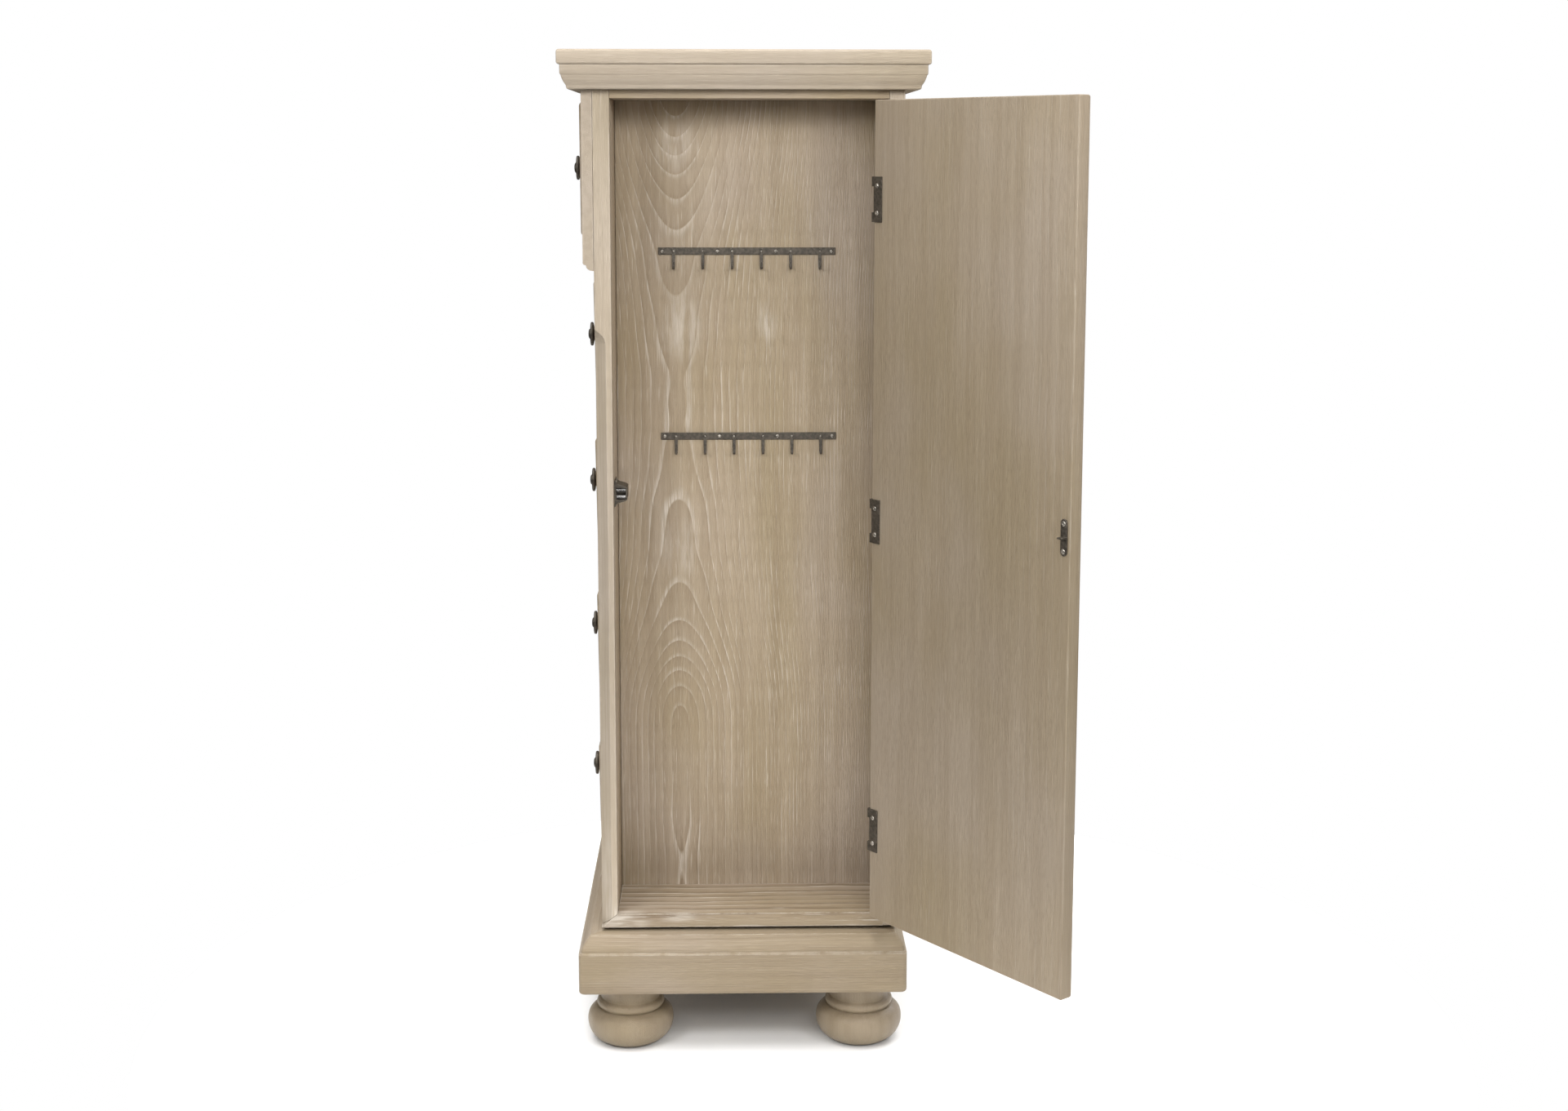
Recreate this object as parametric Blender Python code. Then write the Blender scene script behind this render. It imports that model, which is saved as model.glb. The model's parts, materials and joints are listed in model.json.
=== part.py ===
"""A tall five-drawer chest with a jewelry compartment behind a full-height side door, modelled door open.

Metres, +Z up. The drawers face -Y, the jewelry door is on the +X side and the feet stand on z = 0.
"""

import math

import bmesh
import bpy
from mathutils import Matrix, Vector

# The case is drawn about its own centre line and then moved so that the origin is under the middle of the
# whole open outline, door included
CENTRE_X = 0.1360
CENTRE_Y = 0.0720

# Overall case
HALF_W = 0.245  # half the width over the corner posts
FRONT = -0.198  # front faces of the posts
BACK = 0.198
CASE_Z0 = 0.1673  # underside of the case
CASE_Z1 = 1.2707  # top of the posts
GAP = 0.0003  # clearance between pieces that touch
CASE_BOTTOM_X1 = 0.1330
CASE_BOTTOM_Z1 = 0.1813
LINING_Z0 = 0.1816  # lower edge of the boards that stand on the case bottom
SIDE_PANEL_X = (-0.241, -0.229)
BACK_PANEL_Y = (0.1885, 0.1945)
RAIL_BACK = -0.1863  # back of the rails between the drawers

# Corner posts
POST_W = 0.040
POST_D = 0.0215
BACK_POST_D = 0.0195
CHAMFER = 0.014
CHAMFER_Z = 0.950  # where the stopped chamfer starts to run out
CHAMFER_RUN_OUT = 0.018
CHAMFER_END = 0.0004  # what is left of the chamfer above the run-out
MITRE_GAP = 0.0004  # clearance under the mitred foot of the post beside the door

# Crown
TOP_Z = 1.320
TOP_BOARD_Z = 1.3015
MOULDING_Z = 1.271
CROWN_SIDE = 0.032
CROWN_FRONT = 0.042
CROWN_BACK = 0.030

# Projecting frieze round the top drawer
FRIEZE_FRONT = -0.2121
FRIEZE_Z0 = 1.0425
COVE_CENTRE = (-0.2003, 1.0497)
COVE_DEPTH = 0.0078
COVE_HEIGHT = 0.0070

# Plinth and feet
PLINTH_Z0 = 0.083
PLINTH_Z1 = 0.162
PLINTH_X = 0.272
PLINTH_Y0 = -0.2275
PLINTH_Y1 = 0.2085
FOOT_X = 0.2095
FOOT_Y = (-0.162, 0.148)
PLINTH_OPENING_X = (-0.150, 0.150)
PLINTH_OPENING_Y = (-0.100, 0.085)
GAP_BOARD_X = (-0.236, 0.236)
GAP_BOARD_Y = (-0.189, 0.189)

# Jewelry compartment and its door
COMPARTMENT_X = 0.1336  # face of the partition that the hooks hang on
PARTITION_X0 = 0.1253
FRONT_WALL_Y0 = -0.1855
REAR_WALL_Y1 = 0.1882
OPENING_Y0 = -0.1765
OPENING_Y1 = 0.1785
FLOOR_Z = 0.186
CEILING_Z = 1.2603
DOOR_T = 0.021
DOOR_Y0 = -0.1745
DOOR_Y1 = 0.1765
DOOR_Z0 = 0.1880
DOOR_Z1 = 1.2583
HINGE_X = 0.249
HINGE_Y = 0.1775
OPEN_DEG = 127.0
HINGE_Z = (1.134, 0.7215, 0.308)
HINGE_H = 0.0574
LEAF_T = 0.0016  # thickness of every metal plate
LUG_H = 0.0125  # height of the wrapped ends of a hinge
KNUCKLE_R = 0.0033
PIN_R = 0.0013
BORE_R = 0.0016
HINGE_RECESS_X = (0.2195, 0.2335)
HINGE_RECESS_DEPTH = 0.0027
HINGE_RECESS_HALF_H = 0.0135

# Roller catch and strike
CATCH_Z = 0.7505
CATCH_X = (0.1900, 0.2215)
CATCH_MOUTH_X = (0.2105, 0.2300)
CATCH_MOUTH_Y = (-0.1740, -0.1613)
CATCH_MOUTH_HALF_H = 0.0077
ROLLER_R = 0.0027
ROLLER_LEN = 0.0121
ROLLER_X = 0.2182
ROLLER_Y = -0.16765
ROLLER_SHIFT = 0.0047
STRIKE_Y = (-0.1715, -0.1585)
STRIKE_HALF_H = 0.022
TONGUE_X0 = 0.2128
TONGUE_Y = (-0.1710, -0.1630)
TONGUE_HALF_H = 0.0010

# Drawers, from the top: (bottom of the front, top of the front)
DRAWER_Z = ((1.0860, 1.2560), (0.8540, 1.0275), (0.6475, 0.8210), (0.4410, 0.6145), (0.2345, 0.4080))
DRAWER_HALF_W = 0.2035
DRAWER_SLIT = 0.0015  # gap above and below each drawer front
DRAWER_PROUD = 0.004
DRAWER_RAKE = 0.0025  # a front stands this much prouder at its top edge
TOP_DRAWER_FRONT = -0.2177
TOP_DRAWER_RAKE = 0.0006
DRAWER_BACK = -0.186  # back of every drawer front
BOX_X0, BOX_X1, BOX_Y1 = -0.198, 0.111, 0.140
BOX_H = 0.125
BOX_LIFT = 0.012  # from the lower edge of a front to the underside of its tray
BOX_WALL = 0.010
BOX_FLOOR = 0.007
RUNNER_X = (-0.2285, 0.1250)
RUNNER_Y = (-0.1759, 0.1780)
RUNNER_INNER_X = (-0.1780, 0.0905)
RUNNER_INNER_Y1 = 0.148
RUNNER_T = 0.014
RUNNER_CLEARANCE = 0.0005

# Hook rails: (label, front end of the strip, height of its middle)
HOOK_RAILS = (("upper", -0.1200, 1.0625), ("lower", -0.1180, 0.8145))
RAIL_LEN = 0.2355
RAIL_HALF_H = 0.0048
HOOK_START = 0.0204  # from the end of the strip to the first hook
HOOK_PITCH = 0.0389
HOOK_HALF_W = 0.0021
HOOK_OUT = 0.0076  # from the partition to the middle of a hook's bend
HOOK_DOWN = 0.0190  # from the middle of the strip down to it
HOOK_OUTER_R = 0.0060
HOOK_INNER_R = 0.0044


def clear_scene():
    for obj in list(bpy.data.objects):
        bpy.data.objects.remove(obj, do_unlink=True)


def material(name, colour, roughness, metallic=0.0):
    made = bpy.data.materials.new(name)
    made.use_nodes = True
    shader = made.node_tree.nodes["Principled BSDF"]
    shader.inputs["Base Color"].default_value = (*colour, 1.0)
    shader.inputs["Roughness"].default_value = roughness
    shader.inputs["Metallic"].default_value = metallic
    made.diffuse_color = (*colour, 1.0)
    return made


def solid(name, verts, faces, mat, origin=(0.0, 0.0, 0.0)):
    """An object whose mesh is given in world metres and whose origin lies at `origin`."""
    mesh = bpy.data.meshes.new(name)
    mesh.from_pydata([[v[i] - origin[i] for i in range(3)] for v in verts], [], faces)
    work = bmesh.new()
    work.from_mesh(mesh)
    bmesh.ops.recalc_face_normals(work, faces=work.faces)
    work.to_mesh(mesh)
    work.free()
    mesh.materials.append(mat)
    obj = bpy.data.objects.new(name, mesh)
    obj.location = origin
    bpy.context.scene.collection.objects.link(obj)
    return obj


def loft(name, rings, mat, origin=(0.0, 0.0, 0.0)):
    """Closed rings of equally many points, skinned in order and capped at both ends."""
    n = len(rings[0])
    verts = [p for ring in rings for p in ring]
    faces = [list(range(n)), list(range(len(verts) - n, len(verts)))]
    for i in range(len(rings) - 1):
        for j in range(n):
            k = (j + 1) % n
            faces.append([i * n + j, i * n + k, (i + 1) * n + k, (i + 1) * n + j])
    return solid(name, verts, faces, mat, origin)


def box(name, x, y, z, mat, origin=(0.0, 0.0, 0.0)):
    rings = [[(x[0], y[0], h), (x[1], y[0], h), (x[1], y[1], h), (x[0], y[1], h)] for h in z]
    return loft(name, rings, mat, origin)


def prism_x(name, outline, x, mat, origin=(0.0, 0.0, 0.0)):
    """A (y, z) outline drawn out from x[0] to x[1]."""
    return loft(name, [[(v, p[0], p[1]) for p in outline] for v in x], mat, origin)


def prism_z(name, outline, z, mat, origin=(0.0, 0.0, 0.0)):
    return loft(name, [[(p[0], p[1], v) for p in outline] for v in z], mat, origin)


def stepped_slab(name, x, y, levels, mat):
    """A board with the same profile on all four edges: levels are (z, how far the edge is set in)."""
    rings = [
        [(x[0] + s, y[0] + s, z), (x[1] - s, y[0] + s, z), (x[1] - s, y[1] - s, z), (x[0] + s, y[1] - s, z)]
        for z, s in levels
    ]
    return loft(name, rings, mat)


def turned(name, profile, segments, mat, centre, axis="Z", origin=None):
    """A turned piece: profile is (radius, height) from pole to pole, round an axis through centre."""
    verts, rings = [], []
    for radius, height in profile:
        if radius < 1e-9:
            rings.append([len(verts)])
            verts.append((0.0, 0.0, height))
            continue
        start = len(verts)
        for i in range(segments):
            a = 2 * math.pi * i / segments
            verts.append((radius * math.cos(a), radius * math.sin(a), height))
        rings.append(list(range(start, start + segments)))
    faces = []
    for low, high in zip(rings, rings[1:]):
        for i in range(segments):
            j = (i + 1) % segments
            face = [low[i % len(low)], low[j % len(low)], high[j % len(high)], high[i % len(high)]]
            faces.append(list(dict.fromkeys(face)))
    turn = Matrix.Rotation({"Z": 0.0, "-Y": math.pi / 2, "Y": -math.pi / 2}[axis], 3, "X")
    placed = [turn @ Vector(v) + Vector(centre) for v in verts]
    obj = solid(name, placed, faces, mat, origin or centre)
    for face in obj.data.polygons:
        face.use_smooth = True
    return obj


def rod(name, centre, radius, length, mat, axis="Z", segments=16):
    half = length / 2
    profile = [(0.0, -half), (radius, -half), (radius, half), (0.0, half)]
    return turned(name, profile, segments, mat, centre, axis)


def combine(obj, other, operation):
    """Joins or cuts with a helper object, which stays out of the finished piece."""
    other.hide_render = True
    other.display_type = "WIRE"
    step = obj.modifiers.new(operation.title(), "BOOLEAN")
    step.operation = operation
    step.solver = "EXACT"
    step.object = other
    return obj


def boxes(name, parts, mat):
    """Several separate boxes in one helper mesh."""
    verts, faces = [], []
    for x, y, z in parts:
        base = len(verts)
        verts += [(x[i & 1], y[i >> 1 & 1], z[i >> 2 & 1]) for i in range(8)]
        for quad in ((0, 2, 3, 1), (4, 5, 7, 6), (0, 1, 5, 4), (2, 6, 7, 3), (0, 4, 6, 2), (1, 3, 7, 5)):
            faces.append([base + q for q in quad])
    return solid(name, verts, faces, mat)


def front_post(name, side):
    """A front corner post with a stopped chamfer; the one beside the door has a mitred foot."""
    inner, outer = side * (HALF_W - POST_W), side * HALF_W
    run_out = [(CASE_Z0, CHAMFER), (CHAMFER_Z, CHAMFER)]
    for t in (0.35, 0.6, 0.8, 0.92):
        run_out.append((CHAMFER_Z + CHAMFER_RUN_OUT * t, CHAMFER * math.cos(t * math.pi / 2)))
    run_out += [(CHAMFER_Z + CHAMFER_RUN_OUT, CHAMFER_END), (CASE_Z1, CHAMFER_END)]
    mitred = side > 0
    rings = []
    for z, c in run_out:
        outline = [
            (inner, FRONT),
            (outer - side * c, FRONT),
            (outer, FRONT + c),
            (outer, OPENING_Y0),
            (inner, OPENING_Y0),
        ]
        ring = []
        for x, y in outline:
            rise = (y - FRONT) * (FLOOR_Z - CASE_Z0) / POST_D + MITRE_GAP
            ring.append((x, y, z + rise if mitred and z == CASE_Z0 else z))
        rings.append(ring)
    return loft(name, rings, wood)


def door_piece(obj):
    """Swings a piece drawn with the door shut to the open position it is shown in."""
    obj.rotation_euler = (0.0, 0.0, math.radians(OPEN_DEG))
    return obj


clear_scene()
wood = material("bleached_ash", (0.42, 0.335, 0.235), 0.62)
drawer_wood = material("drawer_box_wood", (0.50, 0.38, 0.24), 0.7)
iron = material("dark_pewter", (0.060, 0.050, 0.043), 0.42, 0.85)
steel = material("roller_steel", (0.55, 0.54, 0.52), 0.3, 1.0)

# Crown
CROWN_X = HALF_W + CROWN_SIDE
crown_y = (FRONT - CROWN_FRONT, BACK + CROWN_BACK)
stepped_slab(
    "crown_top_board",
    (-CROWN_X, CROWN_X),
    crown_y,
    [(TOP_BOARD_Z, 0.003), (TOP_BOARD_Z + 0.001, 0.0012), (TOP_BOARD_Z + 0.003, 0.0002),
     (TOP_Z - 0.003, 0.0), (TOP_Z - 0.001, 0.0009), (TOP_Z, 0.003)],
    wood,
)
stepped_slab(
    "crown_moulding",
    (-CROWN_X, CROWN_X),
    crown_y,
    [(MOULDING_Z, 0.0125), (MOULDING_Z + 0.0015, 0.0112), (1.2780, 0.0098), (1.2835, 0.0065),
     (1.2878, 0.0046), (1.2885, 0.0038), (TOP_BOARD_Z - GAP, 0.0038)],
    wood,
)

# Posts, panels and boards of the case
front_post("front_post_right", 1)
front_post("front_post_left", -1)
inner_x = HALF_W - POST_W
right_back_post = box(
    "back_post_right", (inner_x, HALF_W), (BACK - BACK_POST_D, BACK), (CASE_Z0, CASE_Z1), wood
)
recesses = []
for hinge_z in HINGE_Z:
    for end_z in (hinge_z - HINGE_H / 2, hinge_z + HINGE_H / 2):
        recesses.append((HINGE_RECESS_X, (OPENING_Y1 - 0.001, OPENING_Y1 + HINGE_RECESS_DEPTH),
                         (end_z - HINGE_RECESS_HALF_H, end_z + HINGE_RECESS_HALF_H)))
combine(right_back_post, boxes("hinge_recess_cutter", recesses, wood), "DIFFERENCE")
box("back_post_left", (-HALF_W, -inner_x), (BACK - BACK_POST_D, BACK), (CASE_Z0, CASE_Z1), wood)

inside_y = (OPENING_Y0 + GAP, OPENING_Y1 - GAP)
between = inner_x - GAP
case_top_outline = [
    (-HALF_W, inside_y[0]), (-between, inside_y[0]), (-between, FRONT + GAP), (between, FRONT + GAP),
    (between, inside_y[0]), (HALF_W, inside_y[0]), (HALF_W, inside_y[1]), (between, inside_y[1]),
    (between, BACK - GAP), (-between, BACK - GAP), (-between, inside_y[1]), (-HALF_W, inside_y[1]),
]
prism_z("case_top", case_top_outline, (CEILING_Z, CASE_Z1), wood)
box("case_bottom", (-HALF_W + GAP, CASE_BOTTOM_X1), inside_y, (CASE_Z0, CASE_BOTTOM_Z1), wood)
box("side_panel_left", SIDE_PANEL_X, inside_y, (LINING_Z0, CEILING_Z - GAP), wood)
box("back_panel", (-between, between), BACK_PANEL_Y, (CASE_Z0, CEILING_Z - GAP), wood)
box("base_rail", (-between, between), (FRONT + GAP, RAIL_BACK), (CASE_Z0, DRAWER_Z[-1][0] - DRAWER_SLIT),
    wood)

# Jewelry compartment lining
box("compartment_partition", (PARTITION_X0, COMPARTMENT_X - GAP), inside_y, (LINING_Z0, CEILING_Z - GAP),
    wood)
box("compartment_front_wall", (COMPARTMENT_X, between), (FRONT_WALL_Y0, OPENING_Y0),
    (FLOOR_Z + GAP, CEILING_Z - GAP), wood)
box("compartment_rear_wall", (COMPARTMENT_X, between), (OPENING_Y1, REAR_WALL_Y1),
    (FLOOR_Z + GAP, CEILING_Z - GAP), wood)
floor_board = box("compartment_floor", (COMPARTMENT_X, HALF_W), inside_y, (CASE_Z0, FLOOR_Z), wood)
nose_y, nose_z = OPENING_Y0 + 0.002, FLOOR_Z - 0.0002
nose_outline = [(FRONT, CASE_Z0), (nose_y, CASE_Z0), (nose_y, nose_z), (OPENING_Y0, nose_z)]
floor_nose = prism_x("floor_nose_helper", nose_outline, (inner_x + GAP, HALF_W - 0.0001), wood)
combine(floor_board, floor_nose, "UNION")

# Rails between the drawers
for i in range(4):
    z0 = DRAWER_Z[i + 1][1] + DRAWER_SLIT
    z1 = DRAWER_Z[i][0] - DRAWER_SLIT
    box(f"divider_rail_{i + 1}", (-between, between), (FRONT + GAP, RAIL_BACK), (z0, z1), wood)

# Frieze that frames the top drawer, with a cove along its lower edge
cove = [(FRONT - GAP, FRIEZE_Z0)]
cove += [
    (COVE_CENTRE[0] - COVE_DEPTH * math.sin(t), COVE_CENTRE[1] - COVE_HEIGHT * math.cos(t))
    for t in (0.0, math.pi / 8, math.pi / 4, 3 * math.pi / 8, math.pi / 2)
]
frieze_outline = cove + [(-0.2108, 1.0505), (FRIEZE_FRONT, 1.0522), (FRIEZE_FRONT, CASE_Z1),
                         (FRONT - GAP, CASE_Z1)]
frieze = prism_x("frieze_surround", frieze_outline, (-HALF_W, HALF_W), wood)
combine(
    frieze,
    box("frieze_cutter", (-inner_x, inner_x), (-0.22, -0.19),
        (DRAWER_Z[0][0] - DRAWER_SLIT, DRAWER_Z[0][1] + DRAWER_SLIT), wood),
    "DIFFERENCE",
)

# Plinth, the recessed board that leaves a shadow line above it, and the feet
plinth = stepped_slab(
    "plinth",
    (-PLINTH_X, PLINTH_X),
    (PLINTH_Y0, PLINTH_Y1),
    [(PLINTH_Z0, 0.0045), (PLINTH_Z0 + 0.001, 0.0028), (PLINTH_Z0 + 0.0035, 0.0018), (0.136, 0.0),
     (0.1375, 0.0004), (0.1445, 0.0022), (0.1515, 0.0058), (0.1575, 0.0100), (0.1610, 0.0132),
     (PLINTH_Z1, 0.0150)],
    wood,
)
opening = box("plinth_cutter", PLINTH_OPENING_X, PLINTH_OPENING_Y, (PLINTH_Z0 / 2, CASE_Z0), wood)
combine(plinth, opening, "DIFFERENCE")
box("shadow_gap_board", GAP_BOARD_X, GAP_BOARD_Y, (PLINTH_Z1 + GAP, CASE_Z0 - GAP), wood)
foot_profile = [
    (0.0, 0.0), (0.036, 0.0), (0.042, 0.0018), (0.0485, 0.0062), (0.0540, 0.0130), (0.0572, 0.0215),
    (0.0578, 0.0300), (0.0560, 0.0375), (0.0520, 0.0425), (0.0465, 0.0458), (0.0428, 0.0468),
    (0.0448, 0.0490), (0.0455, 0.0525), (0.0440, 0.0565), (0.0405, 0.0600), (0.0385, 0.0640),
    (0.0385, 0.0700), (0.0400, 0.0760),
    (0.0430, PLINTH_Z0 - GAP), (0.0, PLINTH_Z0 - GAP),
]
for place_y, y in zip(("front", "back"), FOOT_Y):
    for place_x, x in (("left", -FOOT_X), ("right", FOOT_X)):
        turned(f"bun_foot_{place_y}_{place_x}", foot_profile, 40, wood, (x, y, 0.0))

# Drawers: a front, a box, a knob, and the web frame in the case that the box runs on
knob_profile = [
    (0.0, GAP), (0.0085, GAP), (0.0085, 0.0022), (0.0058, 0.0036), (0.0050, 0.0090), (0.0085, 0.0138),
    (0.0152, 0.0162), (0.0165, 0.0175), (0.0160, 0.0187), (0.0130, 0.0193), (0.0072, 0.0193),
    (0.0068, 0.0203), (0.0048, 0.0216), (0.0, 0.0222),
]
runner_outline = [
    (RUNNER_X[0], RUNNER_Y[0]), (RUNNER_INNER_X[0], RUNNER_Y[0]), (RUNNER_INNER_X[0], RUNNER_INNER_Y1),
    (RUNNER_INNER_X[1], RUNNER_INNER_Y1), (RUNNER_INNER_X[1], RUNNER_Y[0]), (RUNNER_X[1], RUNNER_Y[0]),
    (RUNNER_X[1], RUNNER_Y[1]), (RUNNER_X[0], RUNNER_Y[1]),
]
for n, (z0, z1) in enumerate(DRAWER_Z, 1):
    face_y = TOP_DRAWER_FRONT if n == 1 else FRONT - DRAWER_PROUD
    rake = TOP_DRAWER_RAKE if n == 1 else DRAWER_RAKE
    middle = (z0 + z1) / 2
    rings = []
    for depth, inset in ((0.0, 0.0045), (0.0006, 0.0022), (0.0022, 0.0006), (0.0045, 0.0), (None, 0.0)):
        ring = []
        for x, z in ((-1, z0 + inset), (1, z0 + inset), (1, z1 - inset), (-1, z1 - inset)):
            y = DRAWER_BACK if depth is None else face_y + depth + rake * (z1 - z) / (z1 - z0)
            ring.append((x * (DRAWER_HALF_W - inset), y, z))
        rings.append(ring)
    loft(f"drawer_{n}_front", rings, wood)
    floor_z = z0 + BOX_LIFT
    tray = box(f"drawer_{n}_box", (BOX_X0, BOX_X1), (DRAWER_BACK + GAP, BOX_Y1),
               (floor_z, floor_z + BOX_H), drawer_wood)
    hollow = box(f"drawer_{n}_hollow_cutter", (BOX_X0 + BOX_WALL, BOX_X1 - BOX_WALL),
                 (DRAWER_BACK + BOX_WALL, BOX_Y1 - BOX_WALL),
                 (floor_z + BOX_FLOOR, floor_z + 2 * BOX_H), drawer_wood)
    combine(tray, hollow, "DIFFERENCE")
    turned(f"drawer_{n}_knob", knob_profile, 28, iron, (0.0, face_y + rake / 2, middle), "-Y")
    frame_top = floor_z - RUNNER_CLEARANCE
    prism_z(f"drawer_{n}_runner_frame", runner_outline, (frame_top - RUNNER_T, frame_top), drawer_wood)

# Hook rails on the partition: a strip with six bent hooks
for label, y0, z in HOOK_RAILS:
    x0 = COMPARTMENT_X
    rail = box(f"hook_rail_{label}", (x0, x0 + LEAF_T), (y0, y0 + RAIL_LEN),
               (z - RAIL_HALF_H, z + RAIL_HALF_H), iron)
    bend_x, bend_z = x0 + HOOK_OUT, z - HOOK_DOWN
    turns = [math.pi * step / 6 for step in range(7)]
    outer = [(bend_x - HOOK_OUTER_R * math.cos(a), bend_z - HOOK_OUTER_R * math.sin(a)) for a in turns]
    inner = [(bend_x - HOOK_INNER_R * math.cos(a), bend_z - HOOK_INNER_R * math.sin(a)) for a in turns]
    path = [(x0 + 0.0012, z + 0.0036), (x0 + 0.0012, z - 0.0090), (x0 + 0.0016, z - 0.0130)]
    path += outer + [(x0 + 0.0146, z - 0.0118), (x0 + 0.0132, z - 0.0112)] + inner[::-1]
    path += [(x0 + 0.0032, z - 0.0130), (x0 + 0.0028, z - 0.0090), (x0 + 0.0028, z + 0.0036)]
    verts, faces = [], []
    for k in range(6):
        middle = y0 + HOOK_START + HOOK_PITCH * k
        base, count = len(verts), len(path)
        for y in (middle - HOOK_HALF_W, middle + HOOK_HALF_W):
            verts += [(p[0], y, p[1]) for p in path]
        faces.append([base + i for i in range(count)])
        faces.append([base + count + i for i in range(count)])
        for i in range(count):
            j = (i + 1) % count
            faces.append([base + i, base + j, base + count + j, base + count + i])
    combine(rail, solid(f"hooks_{label}_helper", verts, faces, iron), "UNION")

# Double roller catch behind the front post
upper_half = [
    (-0.1596, 0.0080), (-0.1620, 0.0098), (OPENING_Y0 + 0.0022, 0.0135), (OPENING_Y0 + 0.0016, 0.0175),
    (OPENING_Y0 + GAP, 0.0175),
]
catch_outline = [(y, CATCH_Z - up) for y, up in upper_half[::-1]]
catch_outline += [(y, CATCH_Z + up) for y, up in upper_half]
catch = prism_x("catch_body", catch_outline, CATCH_X, iron)
mouth = box("catch_cutter", CATCH_MOUTH_X, CATCH_MOUTH_Y,
            (CATCH_Z - CATCH_MOUTH_HALF_H, CATCH_Z + CATCH_MOUTH_HALF_H), iron)
combine(catch, mouth, "DIFFERENCE")
for label, shift in (("upper", ROLLER_SHIFT), ("lower", -ROLLER_SHIFT)):
    rod(f"catch_roller_{label}", (ROLLER_X, ROLLER_Y, CATCH_Z + shift), ROLLER_R, ROLLER_LEN, steel, "Y", 14)

# The door and everything that swings with it, drawn shut and then turned about the hinge line
axis = (HINGE_X, HINGE_Y, 0.0)
door_x = HALF_W - DOOR_T
rings = []
for x, s in ((door_x, 0.0007), (door_x + 0.0007, 0.0), (HALF_W - 0.0055, 0.0), (HALF_W - 0.0028, 0.0008),
             (HALF_W - 0.0009, 0.0025), (HALF_W, 0.0055)):
    rings.append([(x, DOOR_Y0 + s, DOOR_Z0 + s), (x, DOOR_Y1 - s, DOOR_Z0 + s),
                  (x, DOOR_Y1 - s, DOOR_Z1 - s), (x, DOOR_Y0 + s, DOOR_Z1 - s)])
door_piece(loft("door_panel", rings, wood, axis))

plate_x = (door_x - LEAF_T, door_x - GAP)
for n, z in enumerate(HINGE_Z, 1):
    centre = (HINGE_X, HINGE_Y, z)
    half = HINGE_H / 2
    leaf = box(f"hinge_{n}_door_leaf", plate_x, (DOOR_Y1 - 0.0155, DOOR_Y1 + 0.0011),
               (z - half, z + half), iron, centre)
    lugs = []
    for low in (z - half, z + half - LUG_H):
        lug_z = (low, low + LUG_H)
        lugs.append(((plate_x[0], door_x + 0.0060), (DOOR_Y1 + GAP, DOOR_Y1 + 0.0032), lug_z))
        lugs.append(((door_x + 0.0050, HINGE_X - 0.0019), (DOOR_Y1 + GAP, DOOR_Y1 + 0.0011), lug_z))
    waist = box(f"hinge_{n}_waist_cutter", (0.20, 0.26), (DOOR_Y1 - 0.0004, DOOR_Y1 + 0.01),
                (z - half + LUG_H, z + half - LUG_H), iron, centre)
    wraps = []
    for i, (x, y, h) in enumerate(lugs):
        wraps.append(box(f"hinge_{n}_wrap_helper_{i}", x, y, h, iron, centre))
    barrels = []
    for label, shift in (("lower", LUG_H / 2 - half), ("upper", half - LUG_H / 2)):
        barrel_centre = (HINGE_X, HINGE_Y, z + shift)
        barrels.append(rod(f"hinge_{n}_barrel_helper_{label}", barrel_centre, KNUCKLE_R, LUG_H, iron))
    bore = rod(f"hinge_{n}_bore_cutter", centre, BORE_R, 0.08, iron, "Z", 12)
    combine(leaf, waist, "DIFFERENCE")
    for part in wraps + barrels:
        combine(leaf, part, "UNION")
    combine(leaf, bore, "DIFFERENCE")
    for part in [waist, bore] + wraps + barrels:
        part.parent = leaf
        part.matrix_parent_inverse = Matrix.Translation(centre).inverted()
    door_piece(leaf)

    case_plate_x = (HALF_W + GAP, HALF_W + 0.0015)
    plate = box(f"hinge_{n}_case_leaf", case_plate_x, (OPENING_Y1 + 0.0030, OPENING_Y1 + 0.0160),
                (z - half, z + half), iron)
    middle_h = HINGE_H - 2 * LUG_H - 0.0008
    tab = box(f"hinge_{n}_tab_helper", case_plate_x, (HINGE_Y, OPENING_Y1 + 0.0040),
              (z - middle_h / 2, z + middle_h / 2), iron)
    knuckle = rod(f"hinge_{n}_knuckle_helper", centre, KNUCKLE_R, middle_h, iron)
    pin = rod(f"hinge_{n}_pin_helper", centre, PIN_R, HINGE_H + 0.002, iron, "Z", 12)
    for part in (tab, knuckle, pin):
        combine(plate, part, "UNION")

strike = box("strike_plate", plate_x, STRIKE_Y, (CATCH_Z - STRIKE_HALF_H, CATCH_Z + STRIKE_HALF_H),
             iron, axis)
tongue = box("strike_tongue_helper", (TONGUE_X0, door_x - 0.0010), TONGUE_Y,
             (CATCH_Z - TONGUE_HALF_H, CATCH_Z + TONGUE_HALF_H), iron, axis)
combine(strike, tongue, "UNION")
tongue.parent = strike
tongue.matrix_parent_inverse = Matrix.Translation(axis).inverted()
door_piece(strike)

for obj in bpy.data.objects:
    if obj.parent is None:
        obj.location.x -= CENTRE_X
        obj.location.y -= CENTRE_Y
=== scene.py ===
"""Looks for a tall chest of drawers with a jewelry compartment behind its side door.

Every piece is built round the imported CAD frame, in metres, with the door open as the frame has it.
"""

import json
import math

import bmesh
import bpy
from mathutils import Matrix, Vector


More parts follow.
